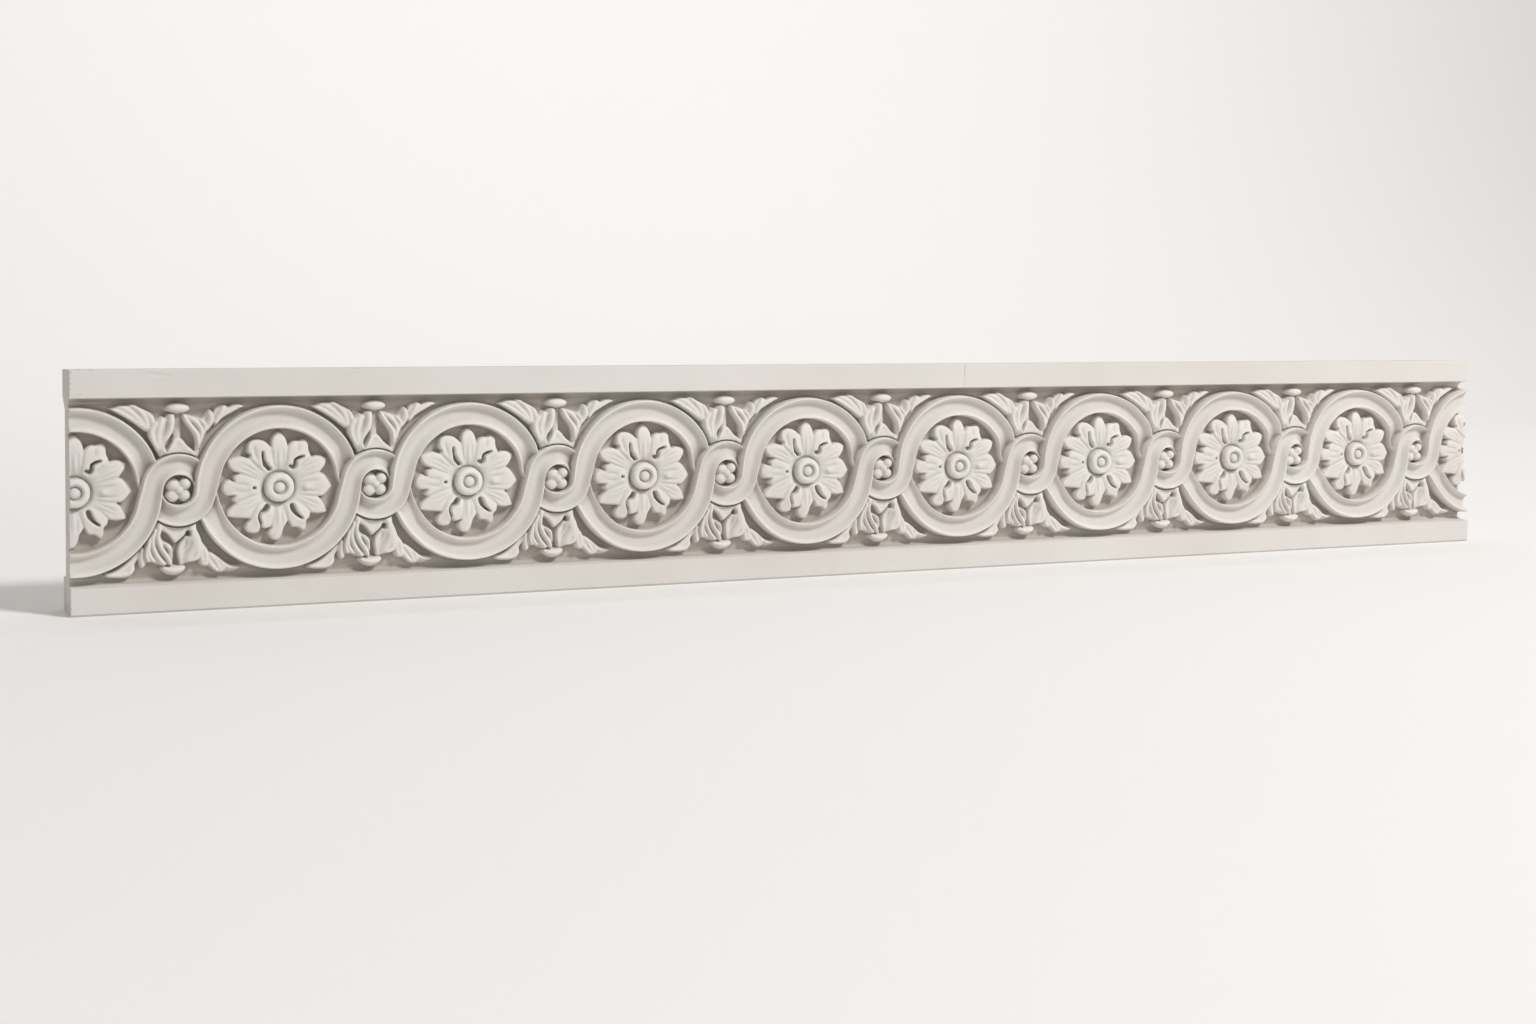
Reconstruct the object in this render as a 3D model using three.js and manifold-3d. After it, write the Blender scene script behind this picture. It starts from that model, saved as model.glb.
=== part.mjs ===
import * as THREE from "three";
import { mergeVertices } from "three/addons/utils/BufferGeometryUtils.js";
import Module from "manifold-3d";

// Carved frieze moulding, cast in one piece: two bands interlaced in large and small rings between
// a plain fillet above and below. Millimetres, +Z up, front towards -Y, length along X.
// The origin is under the middle of the piece, on the underside.

// Rail
const HEIGHT = 140;
const LENGTH = 1029;
const THICKNESS = 40;
const FILLET_HEIGHT = 16;
const RELIEF_DEPTH = 10.5;
const COVE_RISE = 3.5;
const COVE_STEPS = 3;
const ARRIS_TOP = 0.5;
const ARRIS_BOTTOM = 1.2;
const RECESS_DEPTH = 13;
const BACK_RAIL_TOP = 16;
const BACK_RAIL_BOTTOM = 19;
const BACK_SLOPE_TOP = 7;
const BACK_SLOPE_BOTTOM = 2;

// Interlaced bands
const RING_GAP = 5.2;
const BAND_WIDTH = 14.6;
const BAND_WIDTH_SMALL = 13.2;
const EYE_RADIUS = 8.3;
const BAND_SLACK = 1.1;
const RIM_SET_BACK = 0.2;
const INNER_RIM_DROP = 0.5;
const CHANNEL_DEPTH = 4;
const FIRST_RING_AT = 2.6;
const CROSSING_DIP = 5;
const DIP_FLAT = 8;
const DIP_END = 25;
const LARGE_ARC_STEPS = 7;
const SMALL_ARC_STEPS = 4;

// Rosette in each large ring
const PETALS = 12;
const ROSETTE_CLEARANCE = 1.5;
const NOTCH_SHARE = 0.8;
const CREST_SHARE = 0.6;
const CREASE_START = 0.2;
const TIP_START = 0.34;
const BUTTON_RADIUS = 8.7;
const BUTTON_SLOPE = 1.8;
const BUTTON_SIDES = 10;
const BUTTON_GROOVE = 2.4;
const BOSS_RADIUS = 3.8;
const PETAL_RISE = 7.5;
const PETAL_EDGE_RISE = 5.2;
const CREASE_RISE = 4.2;
const PIERCING_RISE = 1.6;

// Bud in each small ring
const BUD_CLEARANCE = 0.6;
const BUD_RISE = 7.2;
const BUD_LOBES = 4;
const BUD_STEPS = 3;

// Rows of a husk leaf, as shares of its length by how many it has, and how low its edges and grooves
// lie beside its crests
const LEAF_ROWS = { 2: [0, 1], 3: [0, 0.6, 1] };
const LEAF_EDGE = 0.6;
const LEAF_GROOVE = 0.72;
const CAP_SIDES = 6;
const CAP_STEPS = 4;

// Carving sits this far into the ground so that it joins the rail
const ROOT_DEPTH = 1.5;

// Edges shorter than this are closed up where carvings meet
const SHORTEST_EDGE = 0.25;

// Corners closer together than this are one corner
const WELD = 1e-4;

// Sizes that follow from the ones above
const CENTRE_Z = HEIGHT / 2;
const RING_OUTER = CENTRE_Z - FILLET_HEIGHT - RING_GAP;
const RING_LINE = RING_OUTER - BAND_WIDTH / 2;
const RING_INNER = RING_OUTER - BAND_WIDTH;
const EYE_LINE = EYE_RADIUS + BAND_WIDTH_SMALL / 2;
const HALF_PITCH = RING_LINE + EYE_LINE + BAND_SLACK;
const PITCH = 2 * HALF_PITCH;
const TANGENT_TURN = Math.acos((RING_LINE + EYE_LINE) / HALF_PITCH);
const TANGENT_RUN = Math.sqrt(HALF_PITCH ** 2 - (RING_LINE + EYE_LINE) ** 2);
const CROSSING_RUN = (TANGENT_RUN * RING_LINE) / (RING_LINE + EYE_LINE);
const RIM_RISE = RELIEF_DEPTH - RIM_SET_BACK;
const ROSETTE_RADIUS = RING_INNER - ROSETTE_CLEARANCE;
const FIRST_BAY = -1;
const LAST_BAY = Math.ceil((LENGTH - FIRST_RING_AT) / PITCH);

const wasm = await Module();
wasm.setup();

// A closed geometry as a solid that can be joined and cut
function solidOf(geometry) {
  const bare = geometry.clone();
  bare.deleteAttribute("normal");
  bare.deleteAttribute("uv");
  const merged = mergeVertices(bare, WELD);
  return new wasm.Manifold(
    new wasm.Mesh({
      numProp: 3,
      vertProperties: merged.attributes.position.array,
      triVerts: new Uint32Array(merged.index.array),
    }),
  );
}

// A point of the carving: along the rail, out of the ground towards the viewer, above the middle line
function carved(along, rise, above) {
  return [along, RELIEF_DEPTH - rise, CENTRE_Z + above];
}

// A solid from its corner points and its triangles
function closed(points, faces) {
  const geometry = new THREE.BufferGeometry();
  geometry.setAttribute(
    "position",
    new THREE.Float32BufferAttribute(points.flat(), 3),
  );
  geometry.setIndex(faces.flat());
  return solidOf(geometry);
}

// A closed skin over rows of points, each row closed round, with a fan over each end
function skin(rows, flip) {
  const points = rows.flat();
  const count = rows[0].length;
  const faces = [];
  for (let r = 0; r + 1 < rows.length; r++) {
    for (let i = 0; i < count; i++) {
      const j = (i + 1) % count;
      const a = r * count + i;
      const b = r * count + j;
      faces.push([a, b, b + count], [a, b + count, a + count]);
    }
  }
  const last = (rows.length - 1) * count;
  for (let i = 1; i + 1 < count; i++) {
    faces.push([0, i + 1, i], [last, last + i, last + i + 1]);
  }
  return closed(points, flip ? faces.map((f) => [f[0], f[2], f[1]]) : faces);
}

// Rail section: fillets, coves, ground and the recess between the back rails
function rail() {
  const section = new THREE.Shape();
  const back = THICKNESS - RECESS_DEPTH;
  const upper = HEIGHT - FILLET_HEIGHT;
  section.moveTo(ARRIS_BOTTOM, 0);
  section.lineTo(THICKNESS, 0);
  section.lineTo(THICKNESS, BACK_RAIL_BOTTOM);
  section.lineTo(back, BACK_RAIL_BOTTOM + BACK_SLOPE_BOTTOM);
  section.lineTo(back, HEIGHT - BACK_RAIL_TOP - BACK_SLOPE_TOP);
  section.lineTo(THICKNESS, HEIGHT - BACK_RAIL_TOP);
  section.lineTo(THICKNESS, HEIGHT);
  section.lineTo(ARRIS_TOP, HEIGHT);
  section.lineTo(0, HEIGHT - ARRIS_TOP);
  for (let i = 0; i <= COVE_STEPS; i++) {
    const turn = (i / COVE_STEPS) * (Math.PI / 2);
    section.lineTo(
      RELIEF_DEPTH * Math.sin(turn),
      upper - COVE_RISE * (1 - Math.cos(turn)),
    );
  }
  for (let i = COVE_STEPS; i >= 0; i--) {
    const turn = (i / COVE_STEPS) * (Math.PI / 2);
    section.lineTo(
      RELIEF_DEPTH * Math.sin(turn),
      FILLET_HEIGHT + COVE_RISE * (1 - Math.cos(turn)),
    );
  }
  section.lineTo(0, ARRIS_BOTTOM);
  const geometry = new THREE.ExtrudeGeometry(section, {
    depth: LENGTH,
    bevelEnabled: false,
  });
  geometry.applyMatrix4(
    new THREE.Matrix4().makeBasis(
      new THREE.Vector3(0, 1, 0),
      new THREE.Vector3(0, 0, 1),
      new THREE.Vector3(1, 0, 0),
    ),
  );
  return solidOf(geometry);
}

// How far a band sinks where it passes under the other, by the distance from the crossing
function dipAt(distance) {
  const share = (DIP_END - distance) / (DIP_END - DIP_FLAT);
  return CROSSING_DIP * THREE.MathUtils.smoothstep(share, 0, 1);
}

// Stations of one band over a bay, from the top of one large ring to the top of the next.
// The band runs over the large rings and below the small ones; side -1 mirrors it top to bottom.
function bandStations(bay, side) {
  const start = FIRST_RING_AT + bay * PITCH;
  const stations = [];
  const sweepLarge = Math.PI / 2 - TANGENT_TURN;
  const sweepSmall = Math.PI - 2 * TANGENT_TURN;
  const half = LARGE_ARC_STEPS / 2;
  const fallsUnder = side > 0;
  function add(x, w, turn, width, outwards, toCrossing, falling) {
    const under = falling === fallsUnder;
    const dip = under ? dipAt(toCrossing) : 0;
    stations.push({ x, w: w * side, turn, width, outwards, dip });
  }
  for (let i = 0.5; i <= half; i++) {
    const turn = Math.PI / 2 - (sweepLarge * i) / half;
    const away = CROSSING_RUN + RING_LINE * (turn - TANGENT_TURN);
    const x = start + RING_LINE * Math.cos(turn);
    add(x, RING_LINE * Math.sin(turn), turn, BAND_WIDTH, 1, away, true);
  }
  for (let i = 0; i <= SMALL_ARC_STEPS; i++) {
    const share = i / SMALL_ARC_STEPS;
    const turn = Math.PI + TANGENT_TURN + sweepSmall * share;
    const near = Math.min(share, 1 - share) * sweepSmall;
    const away = TANGENT_RUN - CROSSING_RUN + EYE_LINE * near;
    const x = start + HALF_PITCH + EYE_LINE * Math.cos(turn);
    const w = EYE_LINE * Math.sin(turn);
    add(x, w, turn, BAND_WIDTH_SMALL, -1, away, share < 0.5);
  }
  for (let i = 0; i < half; i++) {
    const turn = Math.PI - TANGENT_TURN - (sweepLarge * i) / half;
    const away = CROSSING_RUN + RING_LINE * (Math.PI - TANGENT_TURN - turn);
    const x = start + PITCH + RING_LINE * Math.cos(turn);
    add(x, RING_LINE * Math.sin(turn), turn, BAND_WIDTH, 1, away, false);
  }
  return stations;
}

// One band along the whole rail: a rim, a hollow channel and a second rim
function band(side) {
  const stations = [];
  for (let bay = FIRST_BAY; bay <= LAST_BAY; bay++) {
    stations.push(...bandStations(bay, side));
  }
  const profile = [
    [0.5, -ROOT_DEPTH],
    [0.4, RIM_RISE],
    [-0.06, RIM_RISE - CHANNEL_DEPTH],
    [-0.42, RIM_RISE - INNER_RIM_DROP],
    [-0.5, -ROOT_DEPTH],
  ];
  const rows = stations.map((s) =>
    profile.map(([share, rise]) => {
      const off = share * s.width * s.outwards;
      const depth = rise < 0 ? rise : rise - s.dip;
      return carved(
        s.x + off * Math.cos(s.turn),
        depth,
        s.w + off * Math.sin(s.turn) * side,
      );
    }),
  );
  return skin(rows, side < 0);
}

// A leaf that fans out from a root: ribs with grooves between them, cut down to the ground all round.
// Places are measured from the middle of the small ring; widths and rises are given row by row.
function leaf(centre, { root, end, bend, widths, rises, ribs = 1, scallop = 1 }) {
  const dx = end[0] - root[0];
  const dw = end[1] - root[1];
  const run = Math.hypot(dx, dw);
  const rows = LEAF_ROWS[widths.length].map((t, k) => {
    const bow = 4 * t * (1 - t) * bend;
    const slope = Math.atan2(dw, dx) + Math.atan((4 * (1 - 2 * t) * bend) / run);
    const row = [];
    for (let i = 0; i <= 2 * ribs; i++) {
      const across = (i / (2 * ribs) - 0.5) * widths[k];
      const crest = i % 2 === 1;
      const edge = i === 0 || i === 2 * ribs;
      const rise = rises[k] * (crest ? 1 : edge ? LEAF_EDGE : LEAF_GROOVE);
      const along = t * run + (crest ? scallop * t ** 3 : 0);
      const x = root[0] + (dx * along - dw * bow) / run;
      const w = root[1] + (dw * along + dx * bow) / run;
      row.push([x - across * Math.sin(slope), rise, w + across * Math.cos(slope)]);
    }
    const foot = [row[row.length - 1], row[0]].map((p) => [p[0], -ROOT_DEPTH, p[2]]);
    return [...row, ...foot].map(([x, rise, w]) => carved(centre + x, rise, w));
  });
  return skin(rows, true);
}

// A low dome, round or oval
function dome(along, above, halfLength, halfHeight, rise) {
  const geometry = new THREE.SphereGeometry(1, CAP_SIDES, CAP_STEPS);
  geometry.rotateX(Math.PI / 2);
  geometry.scale(halfLength, rise, halfHeight);
  geometry.translate(...carved(along, 0, above));
  return solidOf(geometry);
}

// Husk above the small ring: two bodies, a wing on each side and the tongue between the bodies
const UPPER_LEAVES = [
  { root: [-9.4, 19.5], end: [-8, 42.2], bend: 1.8, widths: [6, 14.4, 12], rises: [6.5, 9.5, 7.5], ribs: 2 },
  { root: [9.6, 19.5], end: [8, 42.6], bend: -2.8, widths: [3, 9, 11.5], rises: [6.5, 9.5, 7.5], ribs: 2 },
  { root: [-14.5, 36], end: [-38, 47.9], bend: -2, widths: [7, 10.5, 1.4], rises: [6.5, 7.5, 4] },
  { root: [15.6, 34.6], end: [37.6, 48.2], bend: 1, widths: [5, 10, 1.4], rises: [5, 7, 4] },
  { root: [0.4, 18.5], end: [0.4, 30.4], bend: 0, widths: [15, 4.5], rises: [6.6, 5.6] },
];
const UPPER_CAP = { above: 47.2, along: 0.2, halfLength: 7.2, halfHeight: 3.3, rise: 8.2 };

// Husk below the small ring: two bodies, a wing on the right, a plain pad on the left and the web
const LOWER_LEAVES = [
  { root: [-9.5, -19], end: [-10.8, -41.8], bend: -1.4, widths: [6, 15, 13], rises: [6.5, 9.5, 7], ribs: 2 },
  { root: [8.4, -19], end: [5, -42.2], bend: 0.5, widths: [5, 13.6, 9.5], rises: [6.5, 9.5, 7], ribs: 2 },
  { root: [13.4, -33.4], end: [34.4, -46.6], bend: -2.2, widths: [5, 11, 1.6], rises: [5.5, 7, 4] },
  { root: [-20.6, -36.8], end: [-38.4, -48.2], bend: 0, widths: [9, 6.6], rises: [5.6, 5] },
  { root: [-1, -18], end: [-2, -30.4], bend: 0, widths: [18, 1.2], rises: [6.6, 5.4] },
];
const LOWER_CAP = { above: -46.6, along: -3.3, halfLength: 7, halfHeight: 3.2, rise: 8 };

// Rosette: a ring of blunt petals, each raised in the middle and cut down to the ground at its end.
// Creases run in from the notches between them, deepest beside the two upright petals.
function rosette(centre) {
  const points = [carved(centre, CREASE_RISE, 0), carved(centre, -ROOT_DEPTH, 0)];
  const step = (2 * Math.PI) / PETALS;
  function add(reach, turn, rise) {
    const far = reach * ROSETTE_RADIUS;
    points.push(carved(centre + far * Math.cos(turn), rise, far * Math.sin(turn)));
    return points.length - 1;
  }
  const petals = [];
  for (let k = 0; k < PETALS; k++) {
    const notch = (k - 0.5) * step;
    const pierced = Math.abs(Math.sin(notch)) > Math.cos(step);
    const rise = pierced ? PIERCING_RISE : CREASE_RISE;
    petals.push({
      root: add(CREASE_START, notch, rise),
      notch: add(NOTCH_SHARE, notch, rise - 0.4),
      crest: add(CREST_SHARE, k * step, PETAL_RISE),
      left: add(1, notch + step * TIP_START, PETAL_EDGE_RISE),
      right: add(1, notch + step * (1 - TIP_START), PETAL_EDGE_RISE),
      footNotch: add(NOTCH_SHARE, notch, -ROOT_DEPTH),
      footLeft: add(1, notch + step * TIP_START, -ROOT_DEPTH),
      footRight: add(1, notch + step * (1 - TIP_START), -ROOT_DEPTH),
    });
  }
  const faces = [];
  petals.forEach((p, k) => {
    const q = petals[(k + 1) % PETALS];
    const rim = [p.root, p.notch, p.left, p.right, q.notch, q.root];
    const edge = [p.notch, p.left, p.right, q.notch];
    const foot = [p.footNotch, p.footLeft, p.footRight, q.footNotch];
    rim.forEach((v, i) => faces.push([v, rim[(i + 1) % rim.length], p.crest]));
    faces.push([0, p.root, q.root]);
    for (let i = 0; i + 1 < edge.length; i++) {
      faces.push([edge[i], foot[i], foot[i + 1]], [edge[i], foot[i + 1], edge[i + 1]]);
      faces.push([foot[i + 1], foot[i], 1]);
    }
  });
  return closed(points, faces);
}

// Button in the middle of a rosette: a rounded ring with a small boss
function button(centre) {
  const top = RIM_RISE;
  const profile = [
    [0, 0],
    [BUTTON_RADIUS, 0],
    [BUTTON_RADIUS - BUTTON_SLOPE, top],
    [BOSS_RADIUS, top - BUTTON_GROOVE],
    [0, top],
  ].map(([radius, rise]) => new THREE.Vector2(radius, rise));
  const geometry = new THREE.LatheGeometry(profile, BUTTON_SIDES);
  geometry.applyMatrix4(
    new THREE.Matrix4().makeBasis(
      new THREE.Vector3(1, 0, 0),
      new THREE.Vector3(0, -1, 0),
      new THREE.Vector3(0, 0, -1),
    ),
  );
  geometry.translate(...carved(centre, 0, 0));
  return solidOf(geometry);
}

// Bud with four round lobes about a dimple, each lobe flat-ended between two notches
function bud(centre) {
  const count = BUD_LOBES * BUD_STEPS;
  const reach = EYE_RADIUS - BUD_CLEARANCE;
  const levels = [
    { share: 0.5, side: BUD_RISE, notch: BUD_RISE - 2.4 },
    { share: 0.95, side: BUD_RISE - 3, notch: BUD_RISE - 4 },
    { share: 1, side: -ROOT_DEPTH, notch: -ROOT_DEPTH },
  ];
  const rows = levels.map((level) => {
    const row = [];
    for (let i = 0; i < count; i++) {
      const notch = i % BUD_STEPS === 0;
      const turn = (i / count) * 2 * Math.PI;
      const far = reach * level.share * (notch ? 0.7 : 1);
      const rise = notch ? level.notch : level.side;
      row.push(carved(centre + far * Math.cos(turn), rise, far * Math.sin(turn)));
    }
    return row;
  });
  return skin(rows, true);
}

// Everything carved on the ground, bay by bay
function carving() {
  const parts = [band(1), band(-1)];
  for (let bay = FIRST_BAY; bay <= LAST_BAY; bay++) {
    const ring = FIRST_RING_AT + bay * PITCH;
    const eye = ring + HALF_PITCH;
    parts.push(rosette(ring), button(ring), bud(eye));
    for (const cap of [UPPER_CAP, LOWER_CAP]) {
      const { above, along, halfLength, halfHeight, rise } = cap;
      parts.push(dome(eye + along, above, halfLength, halfHeight, rise));
    }
    for (const item of [...UPPER_LEAVES, ...LOWER_LEAVES]) {
      parts.push(leaf(eye, item));
    }
  }
  return wasm.Manifold.union(parts);
}

// The carving is cut off square with the ends of the rail
const body = rail();
const cutter = solidOf(
  new THREE.BoxGeometry(LENGTH, THICKNESS, HEIGHT).translate(
    LENGTH / 2,
    THICKNESS / 2 - ROOT_DEPTH,
    HEIGHT / 2,
  ),
);
const whole = body.add(carving().intersect(cutter)).simplify(SHORTEST_EDGE);
const made = whole.getMesh();

const geometry = new THREE.BufferGeometry();
geometry.setAttribute(
  "position",
  new THREE.BufferAttribute(made.vertProperties, made.numProp),
);
geometry.setIndex(new THREE.BufferAttribute(made.triVerts, 1));
geometry.translate(-LENGTH / 2, -THICKNESS / 2, 0);
geometry.computeVertexNormals();

const plaster = new THREE.MeshStandardMaterial({
  color: 0xd9d3cb,
  roughness: 0.9,
  metalness: 0,
});
const moulding = new THREE.Mesh(geometry, plaster);
moulding.name = "guilloche_moulding";

const group = new THREE.Group();
group.add(moulding);

export default group;
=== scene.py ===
"""A length of cast plaster frieze moulding, standing on a pale floor in soft studio light.

Two bands interlace in large rings, which hold rosettes, and small rings, which hold buds, with husk
leaves above and below. The relief is worked out in millimetres as a height above the ground of the
carving, one bay at a time, and the bays are joined into one piece that takes the place of the solid.
"""

import math

import bmesh
import bpy
import numpy as np
from mathutils import Matrix, Vector


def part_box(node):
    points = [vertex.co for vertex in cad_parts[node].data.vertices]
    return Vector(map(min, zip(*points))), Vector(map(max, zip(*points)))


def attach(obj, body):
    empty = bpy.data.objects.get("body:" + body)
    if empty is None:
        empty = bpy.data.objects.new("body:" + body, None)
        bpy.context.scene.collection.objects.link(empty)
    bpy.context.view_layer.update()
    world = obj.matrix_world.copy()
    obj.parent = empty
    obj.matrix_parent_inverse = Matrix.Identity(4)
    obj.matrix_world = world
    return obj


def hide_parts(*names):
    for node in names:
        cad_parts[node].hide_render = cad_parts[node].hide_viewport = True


NODE = "guilloche_moulding"
MM = 0.001

# Rail, in millimetres
FILLET_HEIGHT = 16.0
RELIEF_DEPTH = 10.5
COVE_RISE = 3.5
ARRIS_TOP = 0.5
ARRIS_BOTTOM = 1.2
RECESS_DEPTH = 13.0
BACK_RAIL_TOP = 16.0
BACK_RAIL_BOTTOM = 19.0
BACK_SLOPE_TOP = 7.0
BACK_SLOPE_BOTTOM = 2.0

# Interlaced bands: the rings they make, their rims and channel, the slope at their edges, how wide
# the carving gives way beside them, and how a band sinks below the one that crosses it
RING_GAP = 5.2
BAND_WIDTH = 14.6
BAND_WIDTH_SMALL = 13.2
EYE_RADIUS = 8.3
BAND_SLACK = 1.1
RIM_RISE = 10.3
CHANNEL_DEPTH = 4.6
OUTER_RIM = 1.5
INNER_RIM = 1.1
SMALL_RIM = 1.2
INNER_RIM_DROP = 0.4
CHANNEL_POWER = 3.2
BAND_DRAFT = 0.8
RIM_ON_DRAFT = 0.6
BAND_CLEARANCE = 0.6
FIRST_RING_AT = 2.6
CROSSING_DIP = 5.0
DIP_FLAT = 8.0
DIP_END = 25.0

# How finely the relief is laid out before it is thinned, and what is left of a bay
GRID_STEP = 0.36
BAY_TRIANGLES = 20500

# How far each place stands clear of what is around it, from 0 in a hollow to 1 on a crest, which sets
# the painted shade in hollows and the painted highlight on crests: the height that makes a difference
# of 1, how far around is looked at, and the value on a level face
CLEAR_FALL = 3.4
CLEAR_REACH = 1.7
CLEAR_LEVEL = 0.6

# How close in millimetres counts as the same place, as on a cut and as on a face
SAME = 0.005
ON_CUT = 0.002
ON_FACE = 0.01

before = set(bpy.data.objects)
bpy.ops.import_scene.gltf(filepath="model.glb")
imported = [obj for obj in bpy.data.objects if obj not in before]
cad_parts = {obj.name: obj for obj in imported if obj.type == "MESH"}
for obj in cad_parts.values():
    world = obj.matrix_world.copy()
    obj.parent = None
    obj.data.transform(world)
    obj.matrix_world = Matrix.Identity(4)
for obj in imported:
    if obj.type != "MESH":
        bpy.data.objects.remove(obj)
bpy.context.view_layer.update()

low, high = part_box(NODE)
LENGTH, THICKNESS, HEIGHT = [(b - a) / MM for a, b in zip(low, high)]
CENTRE_Z = HEIGHT / 2
FIELD = CENTRE_Z - FILLET_HEIGHT
GROUND = FIELD - COVE_RISE

RING_OUTER = FIELD - RING_GAP
RING_LINE = RING_OUTER - BAND_WIDTH / 2
EYE_LINE = EYE_RADIUS + BAND_WIDTH_SMALL / 2
HALF_PITCH = RING_LINE + EYE_LINE + BAND_SLACK
PITCH = 2 * HALF_PITCH
TANGENT_TURN = math.acos((RING_LINE + EYE_LINE) / HALF_PITCH)
TANGENT_RUN = math.sqrt(HALF_PITCH**2 - (RING_LINE + EYE_LINE) ** 2)
CROSSING_RUN = TANGENT_RUN * RING_LINE / (RING_LINE + EYE_LINE)

# From millimetres from the left end, the front and the foot to the frame
PLACE = Matrix.Scale(MM, 4) @ Matrix.Translation((-LENGTH / 2, -THICKNESS / 2, 0))


# Shapes of the carving

# Straight pieces of a flowing line between two of its points
LINE_STEPS = 4

# The shares of a furrow's length over which it fades at its two ends
FADE_IN = 0.3
FADE_OUT = 0.4

# How wide the slope at a form's edge is
EDGE_DRAFT = 0.9

# A pit's floor, the slope down to it and the swell of its half width where it has bumps, how far
# outside it the lip is highest, and over what rise of the form the lip comes up
PIT_FLOOR = 1.6
PIT_SLOPE = 0.9
PIT_WAVE = 0.2
LIP_AWAY = 1.3
LIP_CLIMB = 2.0


def ease(x):
    """0 below 0, 1 above 1, and a smooth climb between."""
    x = np.clip(x, 0, 1)
    return x * x * (3 - 2 * x)


def cove(w):
    """The hollow that joins the ground to both fillets."""
    share = np.clip((np.abs(w) - GROUND) / COVE_RISE, 0, 1)
    return RELIEF_DEPTH * (1 - np.sqrt(1 - share**2))


def band_height(off, half, outer_rim, inner_rim):
    """Across a band: its outer rim, a hollow channel and its inner rim, which is slightly lower.
    off is from the middle line, positive towards the outer rim."""
    a = -half + RIM_ON_DRAFT * BAND_DRAFT + inner_rim
    b = half - RIM_ON_DRAFT * BAND_DRAFT - outer_rim
    c = np.clip((2 * off - a - b) / (b - a), -1, 1)
    top = RIM_RISE - CHANNEL_DEPTH * (1 - np.abs(c) ** CHANNEL_POWER)
    top -= INNER_RIM_DROP * ease(-off / half)
    return top * ease((half - np.abs(off)) / BAND_DRAFT)


def band(x, w):
    """The band that runs over the large rings and below the small ones, before it sinks: its height,
    how far it sinks if it passes under, and the distance inside its edge."""
    a = np.abs(x)
    ct, st = math.cos(TANGENT_TURN), math.sin(TANGENT_TURN)
    px, pw = RING_LINE * ct, RING_LINE * st
    run = (a - px) * st - (w - pw) * ct
    rho = np.hypot(a, w)
    rho_eye = np.hypot(a - HALF_PITCH, w)
    turn = np.arctan2(w, np.maximum(a, 1e-6))
    turn_eye = np.arctan2(-w, np.maximum(HALF_PITCH - a, 1e-6))
    on_ring, on_eye = run < 0, run > TANGENT_RUN
    off = np.where(
        on_ring,
        rho - RING_LINE,
        np.where(on_eye, EYE_LINE - rho_eye, (a - px) * ct + (w - pw) * st),
    )
    away = np.where(
        on_ring,
        CROSSING_RUN + RING_LINE * np.maximum(turn - TANGENT_TURN, 0),
        np.where(
            on_eye,
            TANGENT_RUN - CROSSING_RUN + EYE_LINE * np.maximum(turn_eye - TANGENT_TURN, 0),
            np.abs(run - CROSSING_RUN),
        ),
    )
    small = ease(run / TANGENT_RUN)
    half = (BAND_WIDTH + (BAND_WIDTH_SMALL - BAND_WIDTH) * small) / 2
    outer_rim = OUTER_RIM + (SMALL_RIM - OUTER_RIM) * small
    inner_rim = INNER_RIM + (SMALL_RIM - INNER_RIM) * small
    height = band_height(off, half, outer_rim, inner_rim)
    sink = CROSSING_DIP * ease((DIP_END - away) / (DIP_END - DIP_FLAT))
    return height, sink, half - np.abs(off)


def smooth(points, closed=False):
    """A flowing line through points, as an array. A point with a third value is a corner."""
    here = np.array([p[:2] for p in points], float)
    corner = np.array([len(p) > 2 for p in points])[:, None]
    before, after = np.roll(here, 1, axis=0), np.roll(here, -1, axis=0)
    if not closed:
        before[0], after[-1] = here[0], here[-1]

    def unit(v):
        return v / np.maximum(np.linalg.norm(v, axis=1, keepdims=True), 1e-9)

    lean = unit(after - before)
    leave = np.where(corner, unit(after - here), lean)
    reach = np.where(corner, unit(here - before), lean)
    line = []
    for i in range(len(here) if closed else len(here) - 1):
        k = (i + 1) % len(here)
        chord = np.linalg.norm(here[k] - here[i])
        for t in np.arange(LINE_STEPS) / LINE_STEPS:
            line.append(
                (1 + 2 * t) * (1 - t) ** 2 * here[i]
                + t * (1 - t) ** 2 * chord * leave[i]
                + t**2 * (3 - 2 * t) * here[k]
                - t**2 * (1 - t) * chord * reach[k]
            )
    if not closed:
        line.append(here[-1])
    return np.array(line)


def nearest(u, w, line):
    """How far each place is from a line, and where along it the nearest point is, 0 to 1."""
    near, share = np.full_like(u, 1e9), np.zeros_like(u)
    for i in range(len(line) - 1):
        (au, aw), (bu, bw) = line[i], line[i + 1]
        du, dw = bu - au, bw - aw
        t = np.clip(((u - au) * du + (w - aw) * dw) / (du * du + dw * dw + 1e-12), 0, 1)
        off = (u - au - t * du) ** 2 + (w - aw - t * dw) ** 2
        share = np.where(off < near, (i + t) / (len(line) - 1), share)
        near = np.minimum(near, off)
    return np.sqrt(near), share


def inside(u, w, outline):
    """How far each place is inside a closed outline, negative outside it."""
    line = smooth(outline, closed=True)
    line = np.vstack([line, line[:1]])
    near, _ = nearest(u, w, line)
    odd = np.zeros(u.shape, bool)
    for (au, aw), (bu, bw) in zip(line, line[1:]):
        if aw != bw:
            odd ^= ((aw > w) != (bw > w)) & (u < au + (w - aw) * (bu - au) / (bw - aw))
    return np.where(odd, near, -near)


def ribs(u, w, lines, half):
    """Round ribs side by side: 1 on each crest, and 0 half a rib away."""
    lift = np.zeros_like(u)
    for points in lines:
        near, _ = nearest(u, w, smooth(points))
        lift = np.maximum(lift, 1 - (near / half) ** 2)
    return lift


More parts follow.
